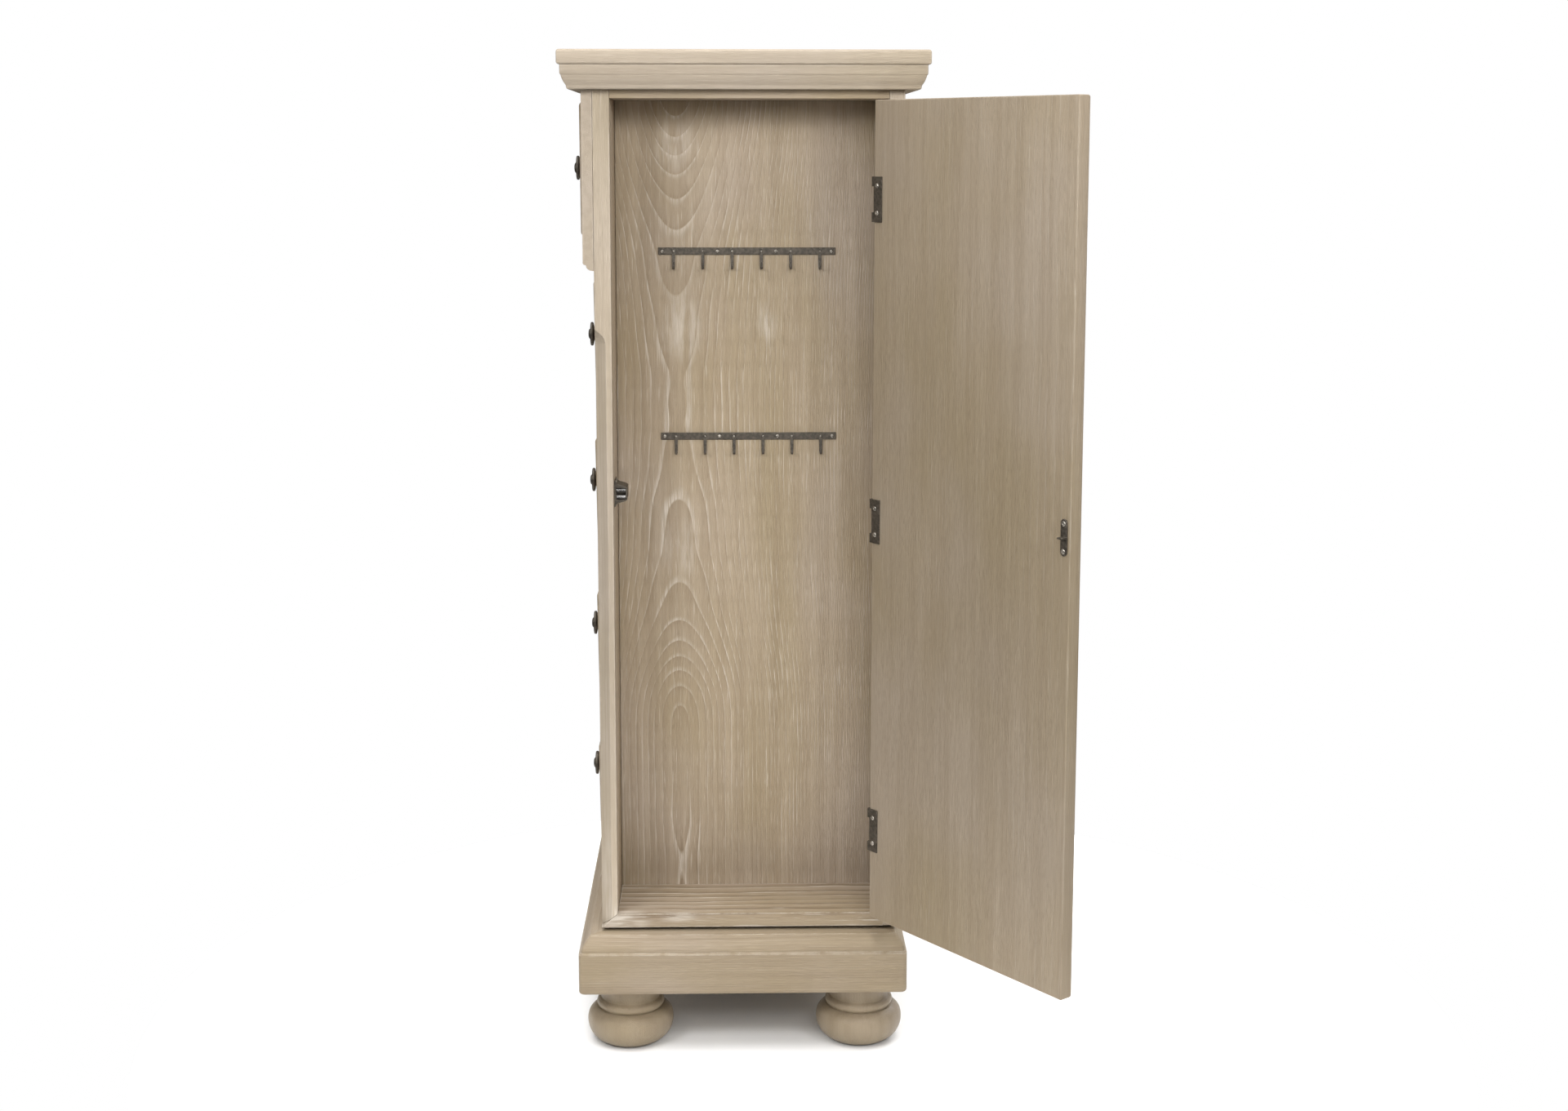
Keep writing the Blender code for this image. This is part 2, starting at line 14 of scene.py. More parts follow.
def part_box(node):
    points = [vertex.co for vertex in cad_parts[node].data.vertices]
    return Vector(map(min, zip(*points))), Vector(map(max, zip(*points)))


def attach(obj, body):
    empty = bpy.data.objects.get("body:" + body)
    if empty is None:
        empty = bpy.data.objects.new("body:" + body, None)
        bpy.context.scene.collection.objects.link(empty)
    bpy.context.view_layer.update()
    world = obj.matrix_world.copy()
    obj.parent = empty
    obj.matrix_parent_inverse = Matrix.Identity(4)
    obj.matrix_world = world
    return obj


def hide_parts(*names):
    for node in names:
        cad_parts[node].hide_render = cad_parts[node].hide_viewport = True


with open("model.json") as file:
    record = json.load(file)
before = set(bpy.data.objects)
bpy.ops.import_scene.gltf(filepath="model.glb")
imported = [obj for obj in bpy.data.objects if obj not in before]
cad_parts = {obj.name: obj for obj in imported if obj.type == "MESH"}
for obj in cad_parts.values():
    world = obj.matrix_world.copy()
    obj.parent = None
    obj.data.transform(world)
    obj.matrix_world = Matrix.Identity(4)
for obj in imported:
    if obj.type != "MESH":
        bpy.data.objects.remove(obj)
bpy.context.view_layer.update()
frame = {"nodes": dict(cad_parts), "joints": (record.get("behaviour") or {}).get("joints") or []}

# Places read from the frame
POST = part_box("front_post_right")
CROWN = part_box("crown_top_board")
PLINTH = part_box("plinth")
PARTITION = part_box("compartment_partition")
SIDE_X = POST[1].x  # outer plane of the case on the door side
FRONT_Y = POST[0].y
HOOK_WALL_X = PARTITION[1].x
DOOR_HINGE = next(j for j in frame["joints"] if j["name"] == "door_hinge")
HINGE_AXIS = Vector(DOOR_HINGE["pos_m"])
OPEN_ANGLE = math.radians(-DOOR_HINGE["range_deg"][0])


# ---------------------------------------------------------------- node trees written as formulas


class Tree:
    """Adds nodes to a tree and returns their output sockets, so that a pattern reads as a formula."""

    def __init__(self, tree):
        self.tree = tree

    def node(self, kind, **settings):
        made = self.tree.nodes.new(kind)
        for name, value in settings.items():
            setattr(made, name, value)
        return made

    def put(self, socket, value):
        if isinstance(value, bpy.types.NodeSocket):
            self.tree.links.new(value, socket)
        else:
            socket.default_value = value

    def fill(self, made, *values):
        for socket, value in zip(made.inputs, values):
            if value is not None:
                self.put(socket, value)
        return made.outputs[0]

    def math(self, operation, *values, clamp=False):
        return self.fill(self.node("ShaderNodeMath", operation=operation, use_clamp=clamp), *values)

    def add(self, a, b):
        return self.math("ADD", a, b)

    def times(self, a, b, clamp=False):
        return self.math("MULTIPLY", a, b, clamp=clamp)

    def ramp(self, value, low, high):
        """0 below low and 1 above high, with soft ends; it falls instead if low is above high."""
        made = self.node("ShaderNodeMapRange", interpolation_type="SMOOTHSTEP", clamp=True)
        flipped = low > high
        ends = (high, low, 1.0, 0.0) if flipped else (low, high, 0.0, 1.0)
        return self.fill(made, value, *ends)

    def split(self, vector):
        made = self.node("ShaderNodeSeparateXYZ")
        self.put(made.inputs[0], vector)
        return made.outputs[0], made.outputs[1], made.outputs[2]

    def join(self, x, y, z):
        return self.fill(self.node("ShaderNodeCombineXYZ"), x, y, z)

    def stretch(self, vector, scale, shift=(0.0, 0.0, 0.0)):
        made = self.node("ShaderNodeMapping")
        self.put(made.inputs["Vector"], vector)
        made.inputs["Scale"].default_value = scale
        made.inputs["Location"].default_value = shift
        return made.outputs[0]

    def noise(self, vector, scale, detail=2.0, roughness=0.5):
        made = self.node("ShaderNodeTexNoise")
        self.put(made.inputs["Vector"], vector)
        made.inputs["Scale"].default_value = scale
        made.inputs["Detail"].default_value = detail
        made.inputs["Roughness"].default_value = roughness
        return made.outputs[0]

    def mix(self, factor, a, b, blend="MIX"):
        made = self.node("ShaderNodeMix", data_type="RGBA", blend_type=blend)
        self.put(made.inputs[0], factor)
        self.put(made.inputs[6], a)
        self.put(made.inputs[7], b)
        return made.outputs[2]

    def pick(self, factor, a, b):
        """Vector a where factor is 0 and b where it is 1."""
        made = self.node("ShaderNodeMix", data_type="VECTOR")
        self.put(made.inputs[0], factor)
        self.put(made.inputs[4], a)
        self.put(made.inputs[5], b)
        return made.outputs[1]

    def bump(self, height, distance):
        made = self.node("ShaderNodeBump")
        made.inputs["Distance"].default_value = distance
        self.put(made.inputs["Height"], height)
        return made.outputs[0]

    def edge_mask(self, radius, low, high):
        """1 along the edges of a piece, where the surface turns within radius of the point."""
        rounded = self.node("ShaderNodeBevel", samples=4)
        rounded.inputs["Radius"].default_value = radius
        flat = self.node("ShaderNodeNewGeometry").outputs["Normal"]
        turn = self.node("ShaderNodeVectorMath", operation="DOT_PRODUCT")
        self.put(turn.inputs[0], rounded.outputs[0])
        self.put(turn.inputs[1], flat)
        return self.ramp(turn.outputs["Value"], high, low)


def rgb(red, green, blue):
    """A colour given as it looks, on the 0 to 255 scale, as the linear colour that shaders take."""
    linear = []
    for value in (red / 255, green / 255, blue / 255):
        linear.append(value / 12.92 if value <= 0.04045 else ((value + 0.055) / 1.055) ** 2.4)
    return (*linear, 1.0)


# ---------------------------------------------------------------- wood

TAN = rgb(176, 159, 136)
OLIVE = rgb(164, 147, 119)
PINK_GREY = rgb(181, 166, 150)
LATEWOOD = rgb(132, 113, 89)
FILLER = rgb(220, 211, 198)
WASHED = rgb(204, 196, 184)

RIPPLE = 0.0024  # sideways ripple of the rings
SWAY_SHARE = 1.1  # sway in depth for each metre of wander
MOST_DROP = 0.062  # the arches stop rising once the pith has come this much nearer
DROP_SOFTNESS = 0.03
CROWDING = 4.5  # how much closer the rings lie far from the pith
BUNCHING = 1.6  # uneven ring widths, in rings
WOOD_BUMP = 0.00035
WEAR_RADIUS = 0.0030
STRAIGHT_ACROSS = 0.26  # boards this far from the pith show nearly parallel lines


def grain_group():
    """Growth rings of a board sawn along the trunk, with pale filler in the open pores.

    The vector is (across, along, depth) in metres. Pith is how far below the face the trunk's middle
    lies, Bow how fast it comes nearer towards both ends, and Middle the place along the board where it is
    deepest. Pitch is the width of a ring, Lines the strength of the filler, Wander the waviness and Late
    the darkness of the late wood.
    """
    group = bpy.data.node_groups.new("ash_grain", "ShaderNodeTree")
    group.interface.new_socket("Vector", in_out="INPUT", socket_type="NodeSocketVector")
    for name in ("Pith", "Bow", "Middle", "Pitch", "Lines", "Wander", "Late"):
        group.interface.new_socket(name, in_out="INPUT", socket_type="NodeSocketFloat")
    group.interface.new_socket("Color", in_out="OUTPUT", socket_type="NodeSocketColor")
    for name in ("Filler", "Height"):
        group.interface.new_socket(name, in_out="OUTPUT", socket_type="NodeSocketFloat")
    t = Tree(group)
    given = t.node("NodeGroupInput").outputs
    vector = given["Vector"]
    across, along, depth = t.split(vector)

    # Ring number at each point
    wander = t.add(t.noise(t.stretch(vector, (3.2, 1.5, 3.2)), 1.0, 2.0), -0.5)
    ripple = t.add(t.noise(t.stretch(vector, (30, 5, 30), (3, 1, 7)), 1.0, 2.0), -0.5)
    side = t.add(across, t.add(t.times(wander, given["Wander"]), t.times(ripple, RIPPLE)))
    sway = t.add(t.noise(t.stretch(vector, (1.3, 4.0, 1.3), (5, 9, 2)), 1.0, 2.0), -0.5)
    fall = t.math("POWER", t.math("ABSOLUTE", t.add(along, t.times(given["Middle"], -1.0))), 3.0)
    drop = t.math("SMOOTH_MIN", t.times(fall, given["Bow"]), MOST_DROP, DROP_SOFTNESS)
    sunk = t.add(t.times(sway, t.times(given["Wander"], SWAY_SHARE)), depth)
    deep = t.add(t.add(given["Pith"], t.times(drop, -1.0)), sunk)
    radius = t.math("SQRT", t.add(t.math("POWER", side, 2.0), t.math("POWER", deep, 2.0)))
    bunching = t.times(t.noise(t.join(t.times(radius, 26.0), 0.0, 0.0), 1.0, 1.0), BUNCHING)
    crowded = t.times(radius, t.add(1.0, t.times(radius, CROWDING)))
    ring = t.add(t.math("DIVIDE", crowded, given["Pitch"]), bunching)
    phase = t.math("FRACT", ring)

    # Pores are short streaks along the grain, and gather at the start of each ring
    pores = t.noise(t.stretch(vector, (1500, 34, 1500)), 1.0, 2.0, 0.6)
    streaks = t.noise(t.stretch(vector, (420, 7, 420), (2, 5, 3)), 1.0, 3.0, 0.6)
    strands = t.noise(t.stretch(vector, (90, 2.2, 90), (8, 1, 4)), 1.0, 3.0, 0.55)
    flat_sawn = t.ramp(t.math("DIVIDE", t.math("ABSOLUTE", side), radius), 0.75, 0.1)
    uneven = t.ramp(t.noise(t.stretch(vector, (26, 9, 26), (6, 2, 9)), 1.0, 1.0), 0.4, 0.7)
    spread = t.add(t.add(0.11, t.times(flat_sawn, 0.15)), t.times(uneven, 0.26))
    fade = t.math("POWER", t.ramp(t.math("DIVIDE", phase, spread), 1.0, 0.1), 1.5)
    band = t.times(fade, t.ramp(phase, 0.0, 0.04))
    patches = t.ramp(t.noise(t.stretch(vector, (16, 3.5, 16), (4, 4, 4)), 1.0, 2.0), 0.34, 0.66)
    broken = t.ramp(t.add(t.times(pores, 0.5), t.times(streaks, 0.5)), 0.43, 0.57)
    line = t.times(t.times(band, t.add(0.15, t.times(broken, 0.85))), t.add(0.35, t.times(patches, 0.65)))
    loose = t.times(t.ramp(t.add(t.times(pores, 0.5), t.times(streaks, 0.5)), 0.555, 0.66), 0.5)
    filler = t.times(t.math("MAXIMUM", line, loose), given["Lines"], clamp=True)

    # Colour drifts between warm and greyed tan, and darkens where the late wood is dense
    drift = t.ramp(t.noise(t.stretch(vector, (9, 1.6, 9), (7, 3, 1)), 1.0, 3.0), 0.34, 0.66)
    bloom = t.ramp(t.noise(t.stretch(vector, (5, 3.0, 5), (1, 8, 5)), 1.0, 2.0), 0.38, 0.68)
    colour = t.mix(drift, TAN, OLIVE)
    colour = t.mix(t.times(bloom, 0.75), colour, PINK_GREY)
    late = t.times(t.math("POWER", phase, 4.0), t.ramp(streaks, 0.30, 0.62))
    dark = t.add(t.times(t.times(late, 0.45), given["Late"]), t.times(t.ramp(strands, 0.62, 0.36), 0.26))
    colour = t.mix(t.times(dark, 0.9, clamp=True), colour, LATEWOOD)
    colour = t.mix(t.times(filler, 0.95), colour, FILLER)
    open_pores = t.times(t.ramp(pores, 0.58, 0.40), 0.55)
    height = t.add(open_pores, t.add(t.times(strands, 0.35), t.times(late, 0.25)))

    end = t.node("NodeGroupOutput")
    t.put(end.inputs["Color"], colour)
    t.put(end.inputs["Filler"], filler)
    t.put(end.inputs["Height"], height)
    return group


GRAIN = grain_group()
ORDERS = {  # grain direction and broad face: which of x, y, z go (across, along, depth)
    "ZX": (1, 2, 0), "ZY": (0, 2, 1), "YX": (2, 1, 0), "YZ": (0, 1, 2), "XY": (2, 0, 1),
}


def shift_for(name):
    """A fixed place in the pattern for each name, so that no two boards share their grain."""
    number = sum((i + 1) * ord(c) for i, c in enumerate(name))
    return ((number * 0.137) % 3 + 1.0, (number * 0.071) % 5 + 1.0, (number * 0.213) % 3)


def wood(name, layout, middle=None, cathedral=None, lines=0.8, wander=0.03, pitch=0.020, tint=None,
         tint_share=0.0, wear=0.0, swing=False, mitre=None, rough=0.56, shade=1.0, late=1.0, smudges=()):
    """Bleached ash on one board.

    layout names the grain's direction and the broad face. middle and cathedral = (pith depth, bow) put the
    arched figure at a place on the board; without them the grain runs straight. mitre = (centre x,
    centre y, half width, half depth) turns the grain round a frame's four corners. swing is for the board
    of the open door. smudges are places where whitewash collected: (centre, half size along x, y and z,
    strength).
    """
    made = bpy.data.materials.new(name)
    made.use_nodes = True
    t = Tree(made.node_tree)
    shader = made.node_tree.nodes["Principled BSDF"]
    place = t.node("ShaderNodeTexCoord").outputs["Object"]
    if swing:
        turn = t.node("ShaderNodeVectorRotate", rotation_type="Z_AXIS")
        t.put(turn.inputs["Vector"], place)
        turn.inputs["Center"].default_value = HINGE_AXIS
        turn.inputs["Angle"].default_value = -OPEN_ANGLE
        place = turn.outputs[0]
    x_y_z = t.split(place)
    vector = t.join(*(x_y_z[i] for i in ORDERS[layout]))
    if mitre:
        centre_x, centre_y, half_x, half_y = mitre
        to_side = t.add(t.math("ABSOLUTE", t.add(x_y_z[0], -centre_x)), -half_x)
        to_front = t.add(t.math("ABSOLUTE", t.add(x_y_z[1], -centre_y)), -half_y)
        on_front = t.math("GREATER_THAN", to_front, to_side)
        vector = t.pick(on_front, vector, t.join(*(x_y_z[i] for i in ORDERS["XY"])))
    if middle is None:
        start = shift_for(name)
        middle_along, pith, bow = 0.0, 0.05, 0.0
        shift = (STRAIGHT_ACROSS + 0.05 * start[0], start[1], 0.04 * start[2])
        vector = t.stretch(vector, (1, 1, 1), shift)
    else:
        middle_across, middle_along = middle
        pith, bow = cathedral
        vector = t.stretch(vector, (1, 1, 1), (-middle_across, 0.0, 0.0))
    grain = t.node("ShaderNodeGroup", node_tree=GRAIN)
    t.put(grain.inputs["Vector"], vector)
    settings = {"Pith": pith, "Bow": bow, "Middle": middle_along, "Pitch": pitch, "Lines": lines,
                "Wander": wander, "Late": late}
    for socket, value in settings.items():
        grain.inputs[socket].default_value = value
    colour = grain.outputs["Color"]
    if tint_share:
        colour = t.mix(tint_share, colour, tint)
    # shade darkens the whole board's colour; on the door, plinth, feet, rear wall and gap board this is
    # painted shade
    if shade != 1.0:
        colour = t.mix(1.0, colour, (shade, shade, shade, 1.0), "MULTIPLY")
    for centre, size, strength in smudges:
        offset = t.stretch(place, [1 / v for v in size], [-c / v for c, v in zip(centre, size)])
        distance = t.node("ShaderNodeVectorMath", operation="LENGTH")
        t.put(distance.inputs[0], offset)
        cloud = t.ramp(t.noise(t.stretch(vector, (130, 16, 130)), 1.0, 3.0, 0.55), 0.38, 0.66)
        near = t.ramp(distance.outputs["Value"], 1.0, 0.15)
        colour = t.mix(t.times(t.times(near, cloud), strength, clamp=True), colour, FILLER)
    if wear:
        edges = t.edge_mask(WEAR_RADIUS, 0.88, 0.999)
        rubbed = t.ramp(t.noise(t.stretch(place, (60, 60, 22)), 1.0, 3.0, 0.6), 0.30, 0.62)
        colour = t.mix(t.times(t.times(edges, rubbed), wear, clamp=True), colour, FILLER)
    t.put(shader.inputs["Base Color"], colour)
    gloss = t.add(rough, t.times(grain.outputs["Filler"], 0.16))
    t.put(shader.inputs["Roughness"], t.add(gloss, t.times(t.noise(place, 14.0, 2.0), 0.12)))
    t.put(shader.inputs["Normal"], t.bump(grain.outputs["Height"], WOOD_BUMP))
    shader.inputs["Specular IOR Level"].default_value = 0.35
    return made


# ---------------------------------------------------------------- metal and paint

METAL_BUMP = 0.00008
RUBBED_RADIUS = 0.0007
BLOTCH_GAIN = 1.9  # how much lighter the blotches are


def metal(name, colour, bright, roughness, metallic):
    """Dark plated steel, blotched and rubbed brighter along its edges."""
    made = bpy.data.materials.new(name)
    made.use_nodes = True
    t = Tree(made.node_tree)
    shader = made.node_tree.nodes["Principled BSDF"]
    place = t.node("ShaderNodeTexCoord").outputs["Object"]
    blotch = t.noise(place, 240.0, 4.0, 0.6)
    fine = t.noise(place, 1400.0, 2.0)
    edges = t.times(t.edge_mask(RUBBED_RADIUS, 0.86, 0.995), t.ramp(blotch, 0.35, 0.6))
    lighter = tuple(c * BLOTCH_GAIN for c in colour[:3]) + (1.0,)
    base = t.mix(t.ramp(blotch, 0.35, 0.68), colour, lighter)
    t.put(shader.inputs["Base Color"], t.mix(t.times(edges, 0.7), base, bright))
    t.put(shader.inputs["Roughness"], t.add(roughness, t.times(t.add(blotch, -0.5), 0.35)))
    t.put(shader.inputs["Normal"], t.bump(t.add(t.times(blotch, 0.7), t.times(fine, 0.3)), METAL_BUMP))
    shader.inputs["Metallic"].default_value = metallic
    return made


def paint(name, colour, roughness):
    """An even coat with the faintest drift in its brightness."""
    made = bpy.data.materials.new(name)
    made.use_nodes = True
    t = Tree(made.node_tree)
    shader = made.node_tree.nodes["Principled BSDF"]
    place = t.node("ShaderNodeTexCoord").outputs["Object"]
    duller = tuple(c * 0.985 for c in colour)
    t.put(shader.inputs["Base Color"], t.mix(t.noise(place, 3.0), colour, duller))
    shader.inputs["Roughness"].default_value = roughness
    return made


PEWTER = metal("dark_pewter_metal", (0.060, 0.051, 0.040, 1.0), (0.30, 0.27, 0.22, 1.0), 0.46, 0.55)
SCREW_METAL = metal("screw_metal", (0.24, 0.22, 0.19, 1.0), (0.80, 0.78, 0.74, 1.0), 0.30, 0.75)
ROLLER_STEEL = metal("roller_steel_metal", (0.15, 0.145, 0.14, 1.0), (0.45, 0.44, 0.42, 1.0), 0.26, 0.75)


# ---------------------------------------------------------------- mesh helpers


EASE_SEGMENTS = 2
BOARD_EASE = 0.0008
SLAB_CORNER = 0.0015
CORNER_STEPS = 5
ARC_STEPS = 6


def ease_edges(obj, width):
    """Rounds every edge that turns by more than 30 degrees."""
    weld = obj.modifiers.new("weld", "WELD")
    weld.merge_threshold = 0.00002
    ease = obj.modifiers.new("ease", "BEVEL")
    ease.width = width
    ease.segments = EASE_SEGMENTS
    ease.limit_method = "ANGLE"
    ease.angle_limit = math.radians(30.0)


def piece(name, verts, faces, mat, body, stands_for=(), slot="bleached_ash", sharp=35.0, mesh=None,
          ease=0.0):
    """A finished piece riding on a body. Its vertices are in the frame's own metres, or mesh holds them."""
    if mesh is None:
        mesh = bpy.data.meshes.new(name)
        mesh.from_pydata([tuple(v) for v in verts], [], faces)
    work = bmesh.new()
    work.from_mesh(mesh)
    bmesh.ops.recalc_face_normals(work, faces=work.faces)
    work.to_mesh(mesh)
    work.free()
    mesh.materials.append(mat)
    mesh.shade_smooth()
    mesh.set_sharp_from_angle(angle=math.radians(sharp))
    obj = bpy.data.objects.new(name, mesh)
    bpy.context.scene.collection.objects.link(obj)
    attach(obj, body)
    if ease:
        ease_edges(obj, ease)
    if stands_for:
        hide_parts(*stands_for)


def loft(rings):
    """Vertices and faces of closed rings skinned in order and capped."""
    n = len(rings[0])
    verts = [p for ring in rings for p in ring]
    faces = [list(range(n)), list(range(len(verts) - n, len(verts)))]
    for i in range(len(rings) - 1):
        for j in range(n):
            k = (j + 1) % n
            faces.append([i * n + j, i * n + k, (i + 1) * n + k, (i + 1) * n + j])
    return verts, faces


def rounded_rectangle(low_a, low_b, high_a, high_b, radius):
    points = []
    centres = ((high_a - radius, high_b - radius), (low_a + radius, high_b - radius),
               (low_a + radius, low_b + radius), (high_a - radius, low_b + radius))
    for quarter, (a, b) in enumerate(centres):
        for k in range(CORNER_STEPS + 1):
            angle = math.pi / 2 * (quarter + k / CORNER_STEPS)
            points.append((a + radius * math.cos(angle), b + radius * math.sin(angle)))
    return points


def edged_slab(low, high, profile, flat="Z"):
    """A slab whose four edges share a profile: points are (height, inset), drawn along the flat axis."""
    rings = []
    first, second = (0, 1) if flat == "Z" else (1, 2)
    for height, inset in profile:
        ring = rounded_rectangle(low[first] + inset, low[second] + inset, high[first] - inset,
                                 high[second] - inset, SLAB_CORNER)
        rings.append([(a, b, height) if flat == "Z" else (height, a, b) for a, b in ring])
    return loft(rings)


def eased_box(low, high):
    """A board with every edge rounded a little."""
    work = bmesh.new()
    bmesh.ops.create_cube(work, size=1.0)
    size, centre = high - low, (high + low) / 2
    for v in work.verts:
        v.co = Vector(v.co[i] * size[i] + centre[i] for i in range(3))
    bmesh.ops.bevel(work, geom=work.edges[:], offset=BOARD_EASE, segments=EASE_SEGMENTS, profile=0.5,
                    affect="EDGES", clamp_overlap=True)
    mesh = bpy.data.meshes.new("eased_box")
    work.to_mesh(mesh)
    work.free()
    return mesh


def board(node, mat):
    """Stands for a box-shaped CAD board of the case, at the same size."""
    piece(node + "_board", None, None, mat, "case", (node,), mesh=eased_box(*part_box(node)))


def smooth_profile(points, steps):
    """A smooth outline through the given points, with this many steps between each two."""
    found = []
    for i in range(len(points) - 1):
        a, b = points[max(i - 1, 0)], points[i]
        c, d = points[i + 1], points[min(i + 2, len(points) - 1)]
        for s in range(steps):
            u = s / steps
            found.append(tuple(
                0.5 * (2 * b[k] + (c[k] - a[k]) * u + (2 * a[k] - 5 * b[k] + 4 * c[k] - d[k]) * u * u
                       + (3 * b[k] - a[k] - 3 * c[k] + d[k]) * u ** 3)
                for k in range(2)))
    return found + [points[-1]]


def turned(profile, segments, turn):
    """Vertices and faces of a solid turned from (radius, height) points, pole to pole, placed by turn."""
    verts, rings, faces = [], [], []
    for radius, height in profile:
        if radius < 1e-6:
            rings.append([len(verts)])
            verts.append((0.0, 0.0, height))
            continue
        rings.append(list(range(len(verts), len(verts) + segments)))
        for i in range(segments):
            a = 2 * math.pi * i / segments
            verts.append((radius * math.cos(a), radius * math.sin(a), height))
    for low, high in zip(rings, rings[1:]):
        for i in range(segments):
            j = (i + 1) % segments
            face = [low[i % len(low)], low[j % len(low)], high[j % len(high)], high[i % len(high)]]
            faces.append(list(dict.fromkeys(face)))
    return [turn @ Vector(v) for v in verts], faces


def gather(parts):
    """Several (vertices, faces) pairs as one."""
    verts, faces = [], []
    for part_verts, part_faces in parts:
        base = len(verts)
        verts += part_verts
        faces += [[base + i for i in face] for face in part_faces]
    return verts, faces


def facing(point, direction, spin=0.0):
    """Places a shape drawn along +Z so that it stands at point and points along direction."""
    turn = Vector(direction).to_track_quat("Z", "Y").to_matrix().to_4x4()
    return Matrix.Translation(point) @ turn @ Matrix.Rotation(spin, 4, "Z")


def swung(point):
    """Where a point of the shut door lies at rest, with the door open."""
    turn = Matrix.Rotation(OPEN_ANGLE, 4, "Z")
    return HINGE_AXIS + turn @ (Vector(point) - HINGE_AXIS)


def soften(node, mat, width=0.0007):
    """Keeps a CAD node's shape, eases its edges and gives it its material."""
    obj = frame["nodes"][node]
    obj.data.materials.clear()
    obj.data.materials.append(mat)
    ease_edges(obj, width)


def shut_corners(node):
    """Lowest and highest corner of a piece on the door, as it lies with the door shut."""
    shut = Matrix.Rotation(-OPEN_ANGLE, 4, "Z")
    points = [HINGE_AXIS + shut @ (v.co - HINGE_AXIS) for v in frame["nodes"][node].data.vertices]
    low = Vector(min(p[i] for p in points) for i in range(3))
    high = Vector(max(p[i] for p in points) for i in range(3))
    return low, high


# ---------------------------------------------------------------- crown and plinth


def mitre_of(box):
    """Centre and half sizes, across and front to back, of a frame whose grain turns at its corners."""
    low, high = box
    return (low.x + high.x) / 2, (low.y + high.y) / 2, (high.x - low.x) / 2, (high.y - low.y) / 2


def rounded_foot(z0, radius):
    """A board's edge profile round its lower corner."""
    points = []
    for i in range(ARC_STEPS + 1):
        a = math.pi / 2 * i / ARC_STEPS
        points.append((z0 + radius * (1 - math.cos(a)), radius * (1 - math.sin(a))))
    return points


def rounded_edge(z0, z1, lower, upper):
    """A board's edge profile with its lower and upper corners rounded to these radii."""
    points = rounded_foot(z0, lower)
    for i in range(ARC_STEPS + 1):
        a = math.pi / 2 * i / ARC_STEPS
        points.append((z1 - upper * (1 - math.sin(a)), upper * (1 - math.cos(a))))
    return points


def crown():
    low, high = CROWN
    crown_wood = wood("crown_wood", "YX", lines=0.35, wander=0.01, mitre=mitre_of(CROWN), wear=0.35,
                      tint=WASHED, tint_share=0.24)
    edge = rounded_edge(low.z, high.z, 0.0028, 0.0034)
    piece("crown_top", *edged_slab(low, high, edge), crown_wood, "case", ("crown_top_board",))
    low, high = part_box("crown_moulding")
    top = high.z
    band = [(top, 0.0), (top - 0.0105, 0.0), (top - 0.0118, 0.0004), (top - 0.0127, 0.0012)]
    slope = smooth_profile([(top - 0.0127, 0.0014), (top - 0.0152, 0.0019), (top - 0.0205, 0.0040),
                            (top - 0.0245, 0.0066), (top - 0.0262, 0.0074)], 4)
    foot = [(low.z + 0.0022, 0.0076), (low.z + 0.0008, 0.0081), (low.z, 0.0091)]
    profile = (band + slope[1:] + foot)[::-1]
    piece("crown_moulding_run", *edged_slab(low, high, profile), crown_wood, "case", ("crown_moulding",))


def hollow_slab(low, high, profile, hole_low, hole_high, corner):
    """A slab with a profiled outside and a plain opening down through its middle."""
    rings = []
    for z, inset in profile:
        ring = rounded_rectangle(low.x + inset, low.y + inset, high.x - inset, high.y - inset, corner)
        rings.append([(x, y, z) for x, y in ring])
    hole = rounded_rectangle(hole_low[0], hole_low[1], hole_high[0], hole_high[1], corner)
    rings += [[(x, y, z) for x, y in hole] for z in (profile[-1][0], profile[0][0])]
    n = len(hole)
    verts = [p for ring in rings for p in ring]
    faces = []
    for i in range(len(rings)):
        start, after = n * i, n * ((i + 1) % len(rings))
        faces += [[start + j, start + (j + 1) % n, after + (j + 1) % n, after + j] for j in range(n)]
    return verts, faces


PLINTH_CORNER = 0.0050
PLINTH_BORDER = 0.122  # width of the plinth round its opening


def plinth():
    low, high = PLINTH
    # Painted shade: shade=0.80 darkens the plinth because the light falls off towards the floor
    plinth_wood = wood("plinth_wood", "YX", lines=0.25, wander=0.010, mitre=mitre_of(PLINTH), wear=0.50,
                       shade=0.80)
    ridge = [(high.z - 0.0232, 0.0), (high.z - 0.0222, 0.0008), (high.z - 0.0218, 0.0022)]
    slope = smooth_profile([(high.z - 0.0214, 0.0025), (high.z - 0.0165, 0.0032), (high.z - 0.0105, 0.0062),
                            (high.z - 0.0045, 0.0108), (high.z - 0.0016, 0.0136)], 5)
    lip = [(high.z - 0.0004, 0.0142), (high.z, 0.0150)]
    profile = rounded_foot(low.z, 0.0055) + ridge + slope + lip
    hole_low = (low.x + PLINTH_BORDER, low.y + PLINTH_BORDER)
    hole_high = (high.x - PLINTH_BORDER, high.y - PLINTH_BORDER)
    verts, faces = hollow_slab(low, high, profile, hole_low, hole_high, PLINTH_CORNER)
    piece("plinth_run", verts, faces, plinth_wood, "case", ("plinth",))


# Turned outlines, as (radius, height) from the floor or from the drawer front
FOOT_BUN = [(0.0360, 0.0), (0.0420, 0.0018), (0.0485, 0.0062), (0.0540, 0.0130), (0.0572, 0.0215),
            (0.0578, 0.0300), (0.0560, 0.0375), (0.0520, 0.0425), (0.0465, 0.0458), (0.0430, 0.0466)]
FOOT_BEAD = [(0.0428, 0.0468), (0.0447, 0.0490), (0.0455, 0.0525), (0.0440, 0.0562), (0.0408, 0.0590)]
FOOT_NECK = [(0.0402, 0.0594), (0.0386, 0.0640), (0.0384, 0.0700), (0.0398, 0.0760), (0.0430, 0.0820)]


